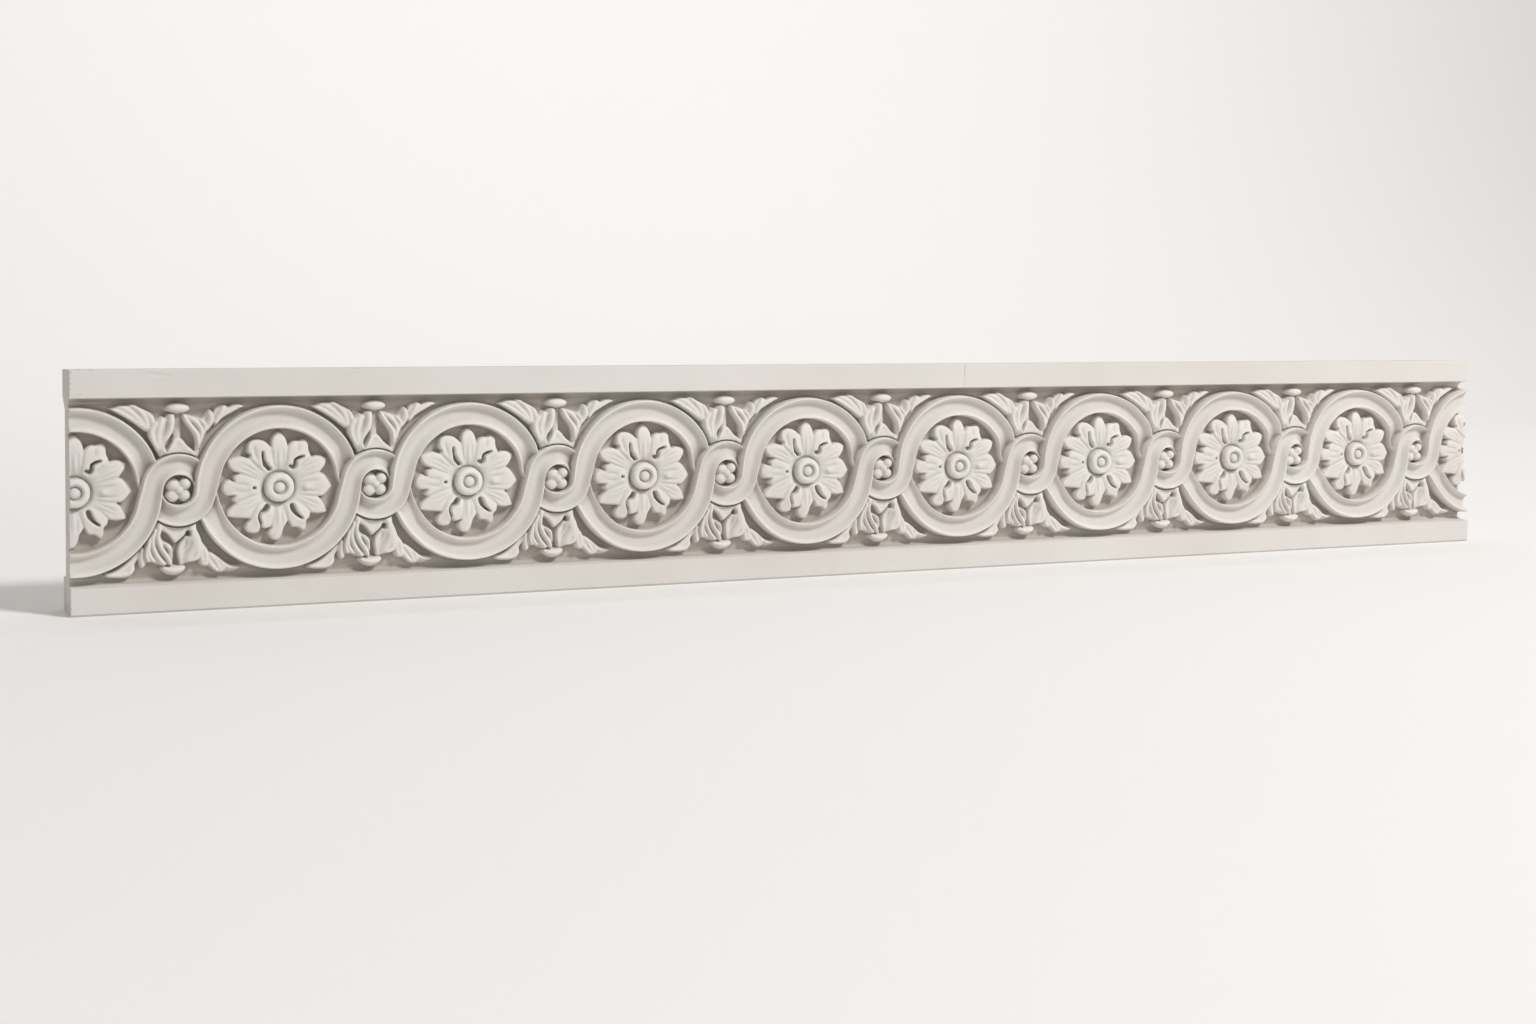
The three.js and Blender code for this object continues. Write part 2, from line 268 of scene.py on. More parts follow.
def creases(u, w, lines, half, far=0.0):
    """Soft furrows that fade at both ends, or keep a share of their depth at the far end."""
    sunk = np.zeros_like(u)
    for points in lines:
        near, share = nearest(u, w, smooth(points))
        depth = ease(share / FADE_IN) * np.maximum(ease((1 - share) / FADE_OUT), far)
        sunk = np.maximum(sunk, np.exp(-((near / half) ** 2)) * depth)
    return sunk


def form(u, w, outline, top, fall, soft):
    """A form with the given outline and top, rounded down by fall within soft of its edge."""
    edge = inside(u, w, outline)
    top = top - fall * (1 - np.clip(edge / soft, 0, 1)) ** 2
    return np.maximum(top, 0) * ease(edge / EDGE_DRAFT + 0.5)


def dome(u, w, at, half_length, half_height, rise, power=2.0):
    """A rounded boss on an oval foot."""
    q = ((u - at[0]) / half_length) ** 2 + ((w - at[1]) / half_height) ** 2
    return rise * np.clip(1 - q ** (power / 2), 0, 1) ** 0.5


def pit(height, u, w, points, halves, bumps, lip):
    """height with a slot sunk along a line, with a raised lip, wavy where it has bumps."""
    near, share = nearest(u, w, smooth(points))
    half = np.interp(share, np.linspace(0, 1, len(halves)), halves)
    half = half * (1 + PIT_WAVE * np.sin(2 * np.pi * bumps * share))
    above = height - PIT_FLOOR
    height = height + lip * np.exp(-((near - half - LIP_AWAY) ** 2)) * ease((above - 1) / LIP_CLIMB)
    sunk = height + (PIT_FLOOR - height) * ease((half + PIT_SLOPE / 2 - near) / PIT_SLOPE)
    return np.where(height > PIT_FLOOR, sunk, height)


# Rosette, from the middle of its ring. Its petals are one form with twelve lobes.
PETALS = (
    (0.1, 32.8), (3.3, 30.4), (4.9, 27.0), (5.4, 24.2, 1),
    (7.2, 26.2), (9.6, 27.3), (12.0, 27.2), (15.2, 28.1), (17.5, 25.9), (17.8, 21.8), (19.4, 17.5, 1),
    (22.0, 18.3), (25.6, 18.1), (28.5, 16.3, 1), (27.7, 12.8), (24.4, 8.2, 1),
    (26.8, 6.8), (29.2, 3.5), (31.4, -0.1, 1), (28.9, -3.6), (26.4, -5.9), (23.5, -6.4, 1),
    (25.6, -8.8), (27.6, -12.6), (28.6, -15.9, 1), (24.0, -16.7), (18.7, -16.0, 1),
    (17.9, -18.8), (16.2, -20.6), (16.1, -24.0), (14.6, -27.2, 1), (11.0, -24.4), (7.6, -23.9),
    (5.2, -20.4, 1), (2.9, -24.0), (1.9, -28.2), (-0.6, -31.6), (-4.6, -30.4), (-6.7, -26.6),
    (-5.0, -23.6, 1), (-7.6, -24.4), (-10.2, -23.4), (-10.8, -21.0, 1), (-11.4, -26.0),
    (-15.5, -27.0), (-18.9, -25.4), (-19.8, -22.4), (-17.2, -18.4, 1),
    (-20.4, -17.9), (-25.5, -17.5), (-30.6, -16.7, 1), (-29.6, -13.2), (-25.4, -8.7, 1),
    (-27.0, -6.6), (-25.6, -4.4, 1), (-29.7, -4.2), (-32.3, -1.9), (-32.6, 1.8), (-29.4, 4.8),
    (-25.9, 4.1, 1), (-26.4, 6.6), (-23.4, 8.7, 1),
    (-27.0, 10.4), (-29.2, 13.2), (-30.0, 16.5, 1), (-25.5, 18.2), (-21.3, 18.4), (-17.8, 17.5, 1),
    (-16.6, 19.2), (-18.2, 20.4, 1), (-18.6, 23.0), (-17.9, 25.8), (-15.6, 27.9), (-12.2, 28.3),
    (-8.6, 27.4), (-4.7, 24.4, 1), (-4.4, 27.4), (-3.0, 30.5),
)
PETAL_EDGES = (
    ((3.0, 9.6), (4.3, 17.0), (5.4, 24.6)),
    ((7.6, 8.0), (14.0, 13.4), (19.6, 17.6)),
    ((10.4, 4.0), (17.0, 6.8), (24.6, 8.2)),
    ((10.4, -4.2), (16.0, -5.4), (23.6, -6.4)),
    ((8.0, -7.6), (14.6, -11.2), (19.0, -16.2)),
    ((2.4, -10.0), (3.4, -15.0), (5.2, -20.8)),
    ((-2.6, -10.0), (-3.2, -16.0), (-5.0, -23.8)),
    ((-8.0, -7.8), (-13.6, -11.4), (-17.4, -18.6)),
    ((-10.6, -3.6), (-17.6, -5.4), (-25.6, -8.8)),
    ((-10.6, 3.8), (-16.4, 6.4), (-23.6, 8.8)),
    ((-7.6, 8.0), (-13.2, 12.6), (-17.8, 17.6)),
    ((-2.6, 10.0), (-3.4, 16.0), (-4.8, 24.6)),
)
PETAL_FOLDS = (
    ((1.9, 9.0), (2.2, 16.0), (1.9, 25.0)), ((-0.9, 9.0), (-1.3, 16.0), (-1.6, 25.0)),
    ((9.0, 7.0), (16.5, 12.4), (24.0, 15.8)), ((10.2, 5.6), (17.4, 9.6), (24.6, 12.4)),
    ((10.6, 1.9), (18.0, 3.4), (25.0, 3.8)), ((10.6, -2.2), (18.0, -2.8), (26.0, -2.4)),
    ((9.8, -5.0), (17.4, -8.6), (24.6, -11.6)), ((9.0, -6.2), (16.4, -10.6), (23.0, -14.4)),
    ((1.2, -10.0), (1.4, -17.0), (0.9, -26.0)), ((-1.5, -10.0), (-2.0, -17.0), (-2.6, -26.0)),
    ((-9.4, -6.6), (-16.0, -11.2), (-23.0, -14.8)), ((-10.2, -5.2), (-17.6, -9.0), (-24.6, -11.6)),
    ((-17.0, -1.9), (-22.0, -2.0), (-27.6, -1.2)), ((-17.0, 1.9), (-22.0, 2.4), (-27.4, 2.4)),
    ((-9.0, 6.8), (-16.2, 11.4), (-23.6, 15.6)), ((-10.0, 5.2), (-17.6, 9.4), (-24.8, 12.6)),
    ((-14.6, 26.0), (-14.2, 20.0), (-11.2, 14.6)), ((12.0, 26.4), (11.4, 22.6), (10.6, 20.4)),
)
EYELETS = (
    (((-9.6, 21.0), (-9.2, 17.0), (-7.8, 13.2), (-5.8, 11.0)), (0.3, 0.7, 1.1, 1.2), 2),
    (((6.6, 12.4), (8.0, 11.6), (9.4, 13.0), (9.6, 15.6), (12.0, 17.2), (14.2, 18.0)),
     (0.8, 1.2, 0.9, 0.8, 0.7, 0.4), 0),
    (((7.6, -11.2), (8.4, -13.6), (10.6, -16.6), (13.2, -18.6)), (1.2, 1.2, 1.1, 0.5), 1),
    (((-7.0, -11.2), (-8.4, -13.2), (-10.6, -14.6), (-11.8, -17.0), (-10.9, -20.6)),
     (1.3, 1.2, 0.8, 0.6, 0.5), 1),
    (((-14.3, -0.1), (-14.5, -0.1)), (0.7, 0.7), 0),
)
KNOB = ((16.2, -0.1), 2.3, 1.9, 1.0)

# The petals' height at the button, and its changes away from it, each by start, run and rise
PETAL_FOOT = 4.8
PETAL_BENDS = ((8, 8, 2.6), (21, 12, -1.6))

# Within this radius the petals are one ring. Their edges round down by a depth over a width, and
# the furrows between and along them have a depth and a half width.
PETAL_JOIN = 12
PETAL_ROUND = (0.9, 1.5)
CREASE_DEPTH = 1.15
CREASE_HALF = 0.8
FOLD_DEPTH = 0.9
FOLD_HALF = 0.75
EYELET_LIP = 0.5

# The ringed button, and the moat round it: how far outside it, half width and depth
BUTTON_RADIUS = 8.6
BUTTON_CREST = 5.6
BUTTON_GROOVE = 3.9
BUTTON_FALL = 2.2
BUTTON_HOLLOW = 2.0
GROOVE_DEPTH = 3.0
BOSS_RADIUS = 3.3
MOAT = (0.5, 0.8, 1.2)


def petal_top(r):
    """Height of a petal's crest by the distance from the button."""
    top = PETAL_FOOT
    for start, run, rise in PETAL_BENDS:
        top = top + rise * ease((r - start) / run)
    return top


def button_height(r):
    """A ring that rounds down outside and hollows inwards, with a boss in the groove within it."""
    shoulder = np.clip((r - BUTTON_CREST) / (BUTTON_RADIUS - BUTTON_CREST), 0, 1)
    hollow = np.clip((BUTTON_CREST - r) / (BUTTON_CREST - BUTTON_GROOVE), 0, 1)
    ring = RIM_RISE - BUTTON_FALL * (1 - np.sqrt(1 - shoulder**2)) - BUTTON_HOLLOW * hollow**2
    boss = RIM_RISE - BUTTON_FALL * (1 - np.sqrt(np.clip(1 - (r / BOSS_RADIUS) ** 2, 0, 1)))
    within = np.where(r < BOSS_RADIUS, boss, RIM_RISE - GROOVE_DEPTH)
    return np.where(r < BUTTON_GROOVE, within, ring)


def rosette(x, w):
    """Petals that rise from the foot of a button and curl down again at their tips."""
    r = np.hypot(x, w)
    top = petal_top(r)
    top = top - CREASE_DEPTH * creases(x, w, PETAL_EDGES, CREASE_HALF, far=1.0)
    top = top - FOLD_DEPTH * creases(x, w, PETAL_FOLDS, FOLD_HALF)
    height = form(x, w, PETALS, top, *PETAL_ROUND)
    height = np.maximum(height, np.where(r < PETAL_JOIN, top, 0))
    for points, halves, bumps in EYELETS:
        height = pit(height, x, w, points, halves, bumps, EYELET_LIP)
    height = height + dome(x, w, *KNOB)
    away, half, depth = MOAT
    height = height - depth * np.exp(-(((r - BUTTON_RADIUS - away) / half) ** 2))
    return np.where(r < BUTTON_RADIUS, button_height(r), height)


# Husks above and below a small ring, from its middle. Each leaf has its outline, its height where it
# springs and at its far end, its crests, the half width and lift of a rib on them, and its furrows.
UPPER_HUSK = (
    # Far left leaf
    (((-38.8, 47.7, 1), (-35.6, 48.3), (-33.6, 49.3), (-28.6, 49.7), (-25.0, 50.0), (-21.4, 48.2),
      (-18.0, 46.3), (-14.4, 44.0), (-12.8, 40.0), (-16.0, 33.6), (-20.7, 35.8), (-25.4, 39.4),
      (-31.0, 43.0), (-35.0, 45.4)),
     ((-16, 36, 6.0), (-36, 48, 4.2)),
     (((-37.4, 47.4), (-31.0, 44.6), (-25.0, 40.6), (-19.6, 36.4)),
      ((-32.0, 48.8), (-27.0, 45.8), (-22.0, 41.0), (-18.8, 36.6)),
      ((-25.2, 49.2), (-21.4, 46.4), (-18.6, 42.0), (-17.4, 36.6)),
      ((-18.6, 46.0), (-15.6, 43.0), (-14.6, 39.0))),
     2.5, 2.4, ()),
    # Left body
    (((-2.1, 43.5), (-4.2, 44.2), (-6.4, 43.2), (-7.6, 41.8, 1), (-9.4, 42.7), (-11.6, 41.4),
      (-14.2, 39.2), (-16.4, 36.6), (-17.2, 33.0), (-16.2, 29.6), (-14.4, 26.2), (-12.0, 21.8),
      (-9.6, 18.6),
      (-6.4, 21.6), (-7.4, 25.2), (-7.2, 27.6), (-5.2, 30.2), (-2.9, 33.6), (-2.0, 37.4)),
     ((-9, 24, 5.8), (-8, 42, 6.4)),
     (((-4.2, 43.0), (-3.9, 38.4), (-5.4, 32.6), (-8.2, 27.6), (-8.8, 23.4)),
      ((-9.4, 41.6), (-10.6, 36.6), (-11.6, 31.0), (-10.8, 25.0)),
      ((-13.6, 38.6), (-15.2, 34.0), (-14.4, 29.0), (-12.4, 24.6))),
     3.1, 3.4, ()),
    # Small right lobe
    (((17.8, 46.2), (19.6, 44.6), (20.5, 41.6), (20.0, 38.6), (18.4, 35.8), (15.6, 33.2), (13.0, 36.0),
      (13.2, 41.0), (15.4, 44.0)),
     ((16, 34, 4.2), (18, 46, 5.2)),
     (((17.7, 45.4), (18.9, 42.4), (18.4, 38.6), (16.6, 35.2)),), 3.0, 2.6, ()),
    # Far right leaf
    (((26.0, 49.0), (23.4, 48.6), (20.4, 46.0), (19.6, 41.0), (20.8, 36.6), (22.8, 38.4), (24.8, 40.8),
      (28.2, 42.9), (31.6, 44.8), (35.0, 46.6), (38.4, 47.9, 1), (35.0, 49.3), (31.4, 49.1),
      (28.6, 47.8, 1)),
     ((21, 38, 4.4), (36, 48, 4.6)),
     (((26.4, 48.4), (24.4, 44.4), (21.6, 38.6)),
      ((37.4, 48.2), (32.0, 47.8), (27.4, 45.0), (23.0, 40.0)),
      ((34.0, 46.9), (29.0, 44.4), (24.6, 41.2))),
     2.0, 2.0, ()),
    # Right body
    (((2.2, 44.2), (5.2, 43.5), (9.2, 42.6), (12.8, 41.4), (15.2, 39.6), (16.1, 36.4), (15.4, 32.8),
      (14.0, 29.0), (12.4, 24.6), (10.8, 18.6), (8.2, 19.6), (9.4, 25.4), (9.3, 28.4), (8.4, 31.6),
      (6.4, 35.0), (4.4, 37.6), (2.8, 40.2)),
     ((10, 23, 6.0), (8, 42, 5.2)),
     (((3.2, 42.4), (6.4, 37.4), (10.4, 31.8), (11.2, 25.6)),
      ((5.4, 42.6), (10.2, 39.0), (13.0, 34.0), (12.4, 28.4)),
      ((12.6, 41.0), (15.2, 37.0), (14.6, 32.4))),
     2.0, 3.0, ()),
    # Tongue
    (((-7.4, 19.0), (-6.0, 23.6), (-4.4, 27.2), (-2.6, 30.2), (0.6, 30.6), (3.0, 28.6), (5.2, 25.6),
      (8.8, 22.4), (9.0, 19.0), (0.0, 18.0)),
     ((0, 22, 6.8), (0, 30, 5.8)),
     (((-1.0, 29.8), (2.0, 27.6), (4.4, 24.8), (7.6, 22.4)),
      ((-5.8, 22.6), (-3.2, 26.6), (-1.6, 29.6))),
     1.8, 0.7, ()),
)
STALK = ((0.0, 18.0), (-0.6, 30.0), (-0.4, 46.0))
STALK_HALF = (4.0, 2.4, 2.6)
STALK_RISE = 2.6
STALK_SLOPE = 1.5
STALK_END = 0.999
UPPER_CAP = ((-0.2, 47.3), 7.5, 3.3, 8.4)
UPPER_PITS = (
    (((-6.6, 25.4), (-4.6, 28.8)), (1.2, 1.2), 0),
    (((20.2, 37.0), (20.4, 37.2)), (0.4, 0.4), 0),
)
LOWER_HUSK = (
    # Far left leaf, a plain pad
    (((-40.8, -46.8), (-38.0, -45.7), (-34.0, -44.4), (-30.6, -42.2), (-27.2, -39.2), (-23.0, -35.0),
      (-20.4, -36.0), (-22.6, -39.4), (-24.4, -42.6), (-24.4, -45.6), (-26.0, -48.0), (-28.6, -49.5),
      (-33.4, -49.9), (-38.6, -49.4), (-40.8, -48.4)),
     ((-24, -38, 4.2), (-36, -48, 4.6)),
     (((-39.6, -47.6), (-33.0, -48.0), (-27.6, -47.2), (-25.6, -44.6)),), 2.0, 1.4, ()),
    # Small left lobe
    (((-20.0, -32.2), (-22.2, -35.0), (-22.9, -38.8), (-22.2, -42.6), (-20.7, -44.9, 1), (-18.6, -43.2),
      (-17.6, -40.8), (-18.4, -36.0)),
     ((-20, -34, 3.8), (-20, -44, 4.8)),
     (((-20.4, -34.4), (-20.6, -39.0), (-20.4, -43.4)),), 2.4, 2.0, ()),
    # Far right leaf
    (((22.6, -39.6), (26.6, -43.1), (30.2, -44.6), (34.2, -45.2), (35.5, -46.3, 1), (32.6, -48.0),
      (29.0, -48.9), (26.0, -48.6, 1), (23.6, -49.2), (20.8, -48.4), (18.0, -46.2), (15.6, -44.2),
      (14.6, -39.0), (17.6, -36.4), (20.6, -38.2)),
     ((17, -38, 4.6), (32, -47, 3.8)),
     (((17.8, -38.0), (20.8, -42.0), (23.8, -47.6)), ((19.8, -38.8), (24.2, -42.6), (25.2, -46.0)),
      ((24.0, -41.6), (28.0, -45.6), (33.6, -46.4)), ((16.6, -41.0), (18.6, -44.6), (21.4, -47.6))),
     1.9, 2.0, ()),
    # Inner right leaf
    (((12.6, -30.6), (15.2, -33.2), (17.1, -36.2), (17.8, -39.4), (17.1, -43.2), (15.3, -45.2),
      (13.0, -44.4), (10.8, -42.4), (11.6, -38.0), (12.0, -34.0)),
     ((13, -33, 4.6), (15, -44, 5.0)),
     (((13.2, -32.4), (15.2, -37.0), (15.4, -43.6)), ((12.4, -36.0), (13.0, -40.0), (13.4, -43.2))),
     2.0, 2.0, ()),
    # Left body
    (((-10.9, -17.8), (-14.2, -21.8), (-16.4, -25.2), (-18.0, -28.8), (-19.2, -32.8), (-19.5, -36.8),
      (-18.8, -40.0), (-16.8, -41.6), (-14.8, -41.4), (-12.0, -43.1), (-9.0, -43.6), (-6.2, -43.2),
      (-4.0, -43.6), (-3.4, -40.6), (-3.5, -36.8), (-3.8, -33.2), (-5.2, -31.2), (-8.2, -29.6),
      (-10.0, -26.6), (-9.4, -23.0)),
     ((-12, -24, 5.6), (-10, -42, 4.8)),
     (((-10.8, -21.4), (-12.0, -26.0), (-11.3, -30.4), (-9.0, -35.0), (-6.2, -39.4), (-4.8, -42.8)),
      ((-7.4, -30.8), (-4.9, -34.2), (-4.3, -38.4)),
      ((-14.0, -23.2), (-14.9, -27.4), (-14.5, -32.8), (-12.0, -38.4), (-8.6, -42.6)),
      ((-16.5, -26.4), (-17.4, -31.4), (-16.8, -36.8), (-14.4, -40.8)),
      ((-18.6, -32.0), (-18.9, -36.0), (-17.6, -40.4))),
     1.9, 3.6, ()),
    # Right body
    (((8.6, -17.8), (10.1, -23.0), (11.8, -26.8), (13.2, -30.8), (13.8, -34.8), (13.0, -38.4),
      (10.8, -41.0), (8.0, -42.0), (5.2, -42.3), (2.2, -43.6), (0.2, -43.4), (-0.2, -40.6), (-0.8, -37.2),
      (-0.8, -33.6), (0.6, -30.4), (3.6, -26.6), (5.0, -22.6)),
     ((8, -24, 6.0), (6, -42, 5.4)),
     (((8.2, -22.0), (10.2, -28.0), (10.4, -34.0), (8.0, -39.6)),), 6.0, 2.6,
     (((6.6, -27.6), (6.4, -32.0), (3.4, -37.0), (2.0, -41.0)),
      ((4.4, -28.6), (3.4, -32.4), (1.0, -37.0)),
      ((9.6, -35.4), (8.0, -38.6), (4.8, -41.4)))),
    # Web
    (((-11.4, -17.6), (-9.8, -23.0), (-6.6, -25.2), (-4.2, -28.4), (-2.0, -31.2, 1), (0.2, -29.4),
      (3.0, -26.8), (5.0, -23.6), (9.4, -18.0), (0.0, -17.6)),
     ((0, -22, 6.6), (-2, -31, 5.6)), (), 1, 0, ()),
)
LOWER_CAP_EDGE = (
    (-10.6, -45.0), (-8.8, -43.6), (-2.8, -43.7), (2.8, -43.6), (3.9, -45.0), (2.8, -47.3),
    (-0.6, -49.2), (-4.0, -49.5), (-8.0, -47.9),
)
LOWER_PITS = (
    (((-8.6, -26.4), (-6.6, -28.0), (-4.2, -30.4)), (1.2, 1.6, 1.0), 0),
    (((5.3, -24.8), (5.3, -25.8)), (1.2, 1.2), 0),
)

# The lower cap's height, and how its edge and a leaf's round down, as a depth over a width
LOWER_CAP = (8.2, 3.4, 3.2)
CAP_POWER = 3.0
LEAF_ROUND = (1.0, 1.2)
FURROW_DEPTH = 1.0
FURROW_HALF = 0.8
HUSK_LIP = 0.3

# Bud in a small ring: lobes about a middle one, each its place, radius and rise, from a common foot
BUD_LOBES = (
    (3.7, 3.4, 3.7, 7.8), (3.6, -3.5, 3.7, 7.0), (-3.2, 3.2, 4.1, 7.4), (-3.3, -3.4, 4.0, 6.6),
    (0.4, 0.0, 3.2, 7.6),
)
LOBE_FOOT = 2.6


def husk_leaf(u, w, outline, heights, crests, half, lift, furrows):
    """A leaf between its height where it springs and its height at the far end."""
    (au, aw, low_rise), (bu, bw, high_rise) = heights
    du, dw = bu - au, bw - aw
    t = np.clip(((u - au) * du + (w - aw) * dw) / (du * du + dw * dw), 0, 1)
    top = low_rise + (high_rise - low_rise) * t + lift * ribs(u, w, crests, half)
    if furrows:
        top = top - FURROW_DEPTH * creases(u, w, furrows, FURROW_HALF)
    return form(u, w, outline, top, *LEAF_ROUND)


def husks(u, w):
    """Leaves, caps and pierced slots above and below a small ring."""
    near, share = nearest(u, w, smooth(STALK))
    half = np.interp(share, (0, 0.5, 1), STALK_HALF)
    height = STALK_RISE * ease((half - near) / STALK_SLOPE + 0.5) * (share < STALK_END)
    for leaves, pits in ((UPPER_HUSK, UPPER_PITS), (LOWER_HUSK, LOWER_PITS)):
        for item in leaves:
            height = np.maximum(height, husk_leaf(u, w, *item))
        for points, halves, bumps in pits:
            height = pit(height, u, w, points, halves, bumps, HUSK_LIP)
    height = np.maximum(height, dome(u, w, *UPPER_CAP, power=CAP_POWER))
    return np.maximum(height, form(u, w, LOWER_CAP_EDGE, *LOWER_CAP))


def bud(u, w):
    """Round lobes pressed together."""
    height = np.zeros_like(u)
    for across, above, radius, rise in BUD_LOBES:
        lobe = dome(u, w, (across, above), radius, radius, rise - LOBE_FOOT)
        height = np.maximum(height, np.where(lobe > 0, lobe + LOBE_FOOT, 0))
    return height


def relief(x, w):
    """Height above the ground of one bay. x is from the middle of its large ring."""
    u = x - np.where(x >= 0, HALF_PITCH, -HALF_PITCH)
    high_side, high_sink, high_in = band(x, w)
    low_side, low_sink, low_in = band(x, -w)
    rising_low = x >= 0
    over = np.where(rising_low, low_side, high_side)
    under = np.where(rising_low, high_side - high_sink, low_side - low_sink)
    bands = np.maximum(over, under)
    clear = ease(-np.maximum(high_in, low_in) / BAND_CLEARANCE + 0.5)
    carved = np.maximum(np.maximum(rosette(x, w), husks(u, w)), bud(u, w)) * clear
    return np.maximum(np.maximum(bands, carved), cove(w))


def spread(values, reach):
    """values averaged over what is around each place, as far as reach."""
    steps = round(reach / GRID_STEP)
    width = 2 * steps + 1
    for axis, mode in ((0, "wrap"), (1, "edge"), (0, "wrap"), (1, "edge")):
        pad = [(0, 0), (0, 0)]
        pad[axis] = (steps + 1, steps)
        total = np.moveaxis(np.cumsum(np.pad(values, pad, mode), axis=axis), axis, 0)
        values = np.moveaxis((total[width:] - total[:-width]) / width, 0, axis)
    return values


def soften(height):
    """Rounds every edge slightly, as plaster casts come out."""
    wrapped = np.concatenate([height[-2:-1], height, height[1:2]])
    height = (wrapped[:-2] + 2 * wrapped[1:-1] + wrapped[2:]) / 4
    inner = (height[:, :-2] + 2 * height[:, 1:-1] + height[:, 2:]) / 4
    return np.concatenate([height[:, :1], inner, height[:, -1:]], axis=1)


# One bay as a mesh, then the whole piece


def section_loop():
    """The section's corners outside the carved field, from its top edge round the back to its foot,
    each as (depth, height)."""
    back = THICKNESS - RECESS_DEPTH
    return [
        (0.0, HEIGHT - ARRIS_TOP),
        (ARRIS_TOP, HEIGHT),
        (THICKNESS, HEIGHT),
        (THICKNESS, HEIGHT - BACK_RAIL_TOP),
        (back, HEIGHT - BACK_RAIL_TOP - BACK_SLOPE_TOP),
        (back, BACK_RAIL_BOTTOM + BACK_SLOPE_BOTTOM),
        (THICKNESS, BACK_RAIL_BOTTOM),
        (THICKNESS, 0.0),
        (ARRIS_BOTTOM, 0.0),
        (0.0, ARRIS_BOTTOM),
    ]


def bay_mesh():
    """One bay: the carved field in front and the plain faces round the back, open at its two sides."""
    columns = 2 * round(HALF_PITCH / GRID_STEP) + 1
    rows = 2 * round(FIELD / GRID_STEP) + 1
    x = np.linspace(-HALF_PITCH, HALF_PITCH, columns)
    w = np.linspace(-FIELD, FIELD, rows)
    height = soften(relief(*np.meshgrid(x, w, indexing="ij")))
    height[0] = height[-1] = (height[0] + height[-1]) / 2
    depth = np.clip(RELIEF_DEPTH - height, 0, RELIEF_DEPTH)
    # How clear each place stands, which paints shade into the hollows and a highlight onto the crests
    clear = CLEAR_LEVEL + (height - spread(height, CLEAR_REACH)) / CLEAR_FALL
    clear = np.clip(clear, 0, 1)
    rest = section_loop()
    count = rows + len(rest)
    verts = np.empty((columns, count, 3))
    verts[:, :, 0] = x[:, None]
    verts[:, :rows, 1] = depth
    verts[:, :rows, 2] = CENTRE_Z + w
    verts[:, rows:, 1:] = np.array(rest)
    i, j = np.meshgrid(np.arange(columns - 1), np.arange(count), indexing="ij")
    k = (j + 1) % count
    faces = np.stack(
        [i * count + j, (i + 1) * count + j, (i + 1) * count + k, i * count + k], axis=-1
    ).reshape(-1, 4)
    mesh = bpy.data.meshes.new("bay")
    mesh.from_pydata(verts.reshape(-1, 3).tolist(), [], faces.tolist())
    # The clear attribute carries the painted shade and highlight to the plaster
    held = np.full((columns, count), CLEAR_LEVEL, np.float32)
    held[:, :rows] = clear
    mesh.attributes.new("clear", "FLOAT", "POINT").data.foreach_set("value", held.ravel())
    bay = bpy.data.objects.new("bay", mesh)
    bpy.context.collection.objects.link(bay)
    thinned = bay.vertex_groups.new(name="thinned")
    thinned.add(range(count, (columns - 1) * count), 1.0, "REPLACE")
    thin = bay.modifiers.new("thin", "DECIMATE")
    thin.ratio = BAY_TRIANGLES / (2 * len(faces))
    thin.vertex_group = thinned.name
    thin.use_collapse_triangulate = True
    depsgraph = bpy.context.evaluated_depsgraph_get()
    made = bpy.data.meshes.new_from_object(bay.evaluated_get(depsgraph))
    bpy.data.objects.remove(bay)
    return made


def moulding():
    """Bays side by side, joined, cut square at both ends and closed."""
    bay = bay_mesh()
    whole = bmesh.new()
    for number in range(math.ceil((LENGTH - FIRST_RING_AT) / PITCH) + 1):
        start = len(whole.verts)
        whole.from_mesh(bay)
        whole.verts.ensure_lookup_table()
        shift = Vector((FIRST_RING_AT + number * PITCH, 0, 0))
        bmesh.ops.translate(whole, vec=shift, verts=whole.verts[start:])
    bmesh.ops.remove_doubles(whole, verts=whole.verts, dist=SAME)
    for at, away in ((0.0, -1), (LENGTH, 1)):
        cut = bmesh.ops.bisect_plane(
            whole,
            geom=whole.verts[:] + whole.edges[:] + whole.faces[:],
            dist=ON_CUT,
            plane_co=(at, 0, 0),
            plane_no=(away, 0, 0),
            clear_outer=True,
        )
        rim = [e for e in cut["geom_cut"] if isinstance(e, bmesh.types.BMEdge)]
        bmesh.ops.contextual_create(whole, geom=rim)
    bmesh.ops.recalc_face_normals(whole, faces=whole.faces)
    whole.transform(PLACE)
    mesh = bpy.data.meshes.new("moulding_cast")
    whole.to_mesh(mesh)
    whole.free()
    piece = bpy.data.objects.new("moulding_cast", mesh)
    bpy.context.collection.objects.link(piece)
    return piece


# Wear

# Flakes gone from the piece, each its middle in millimetres from the left end, the front and the
# foot, and its half sizes the same way. No two of them meet.
FLAKES = (
    ((48.5, -0.3, 136.9), (7.6, 0.75, 2.0)),
    ((4.2, 0.2, 139.8), (1.5, 0.9, 0.8)),
    ((11.2, 0.2, 139.9), (1.1, 0.8, 0.7)),
    ((162.4, 0.2, 139.9), (3.0, 0.8, 0.6)),
    ((5.4, 0.0, 126.0), (1.6, 0.35, 0.5)),
)

# Chips down the left arris of each fillet: how many, and the half sizes and least and most share
END_FLAKES = 5
END_FLAKE = (0.9, 0.7, 1.4)
END_FLAKE_SHARE = (0.3, 0.9)

# How uneven a lump is
FLAKE_WAVES = 4
FLAKE_LEAN = 2.5
FLAKE_SWELL = 0.08

# A hairline crack down the upper fillet, thinner and thinner towards its foot
CRACK_AT = 580.4
CRACK_HALF = 0.14
CRACK_DEPTH = 0.9
CRACK_STEPS = 7
CRACK_WANDER = 0.5
CRACK_TAPER = 0.6
PAST_FACE = 1.0
WEAR_SEED = 7

# Faces that meet at a sharper angle than this aren't shaded into each other
SHARP = math.radians(48)


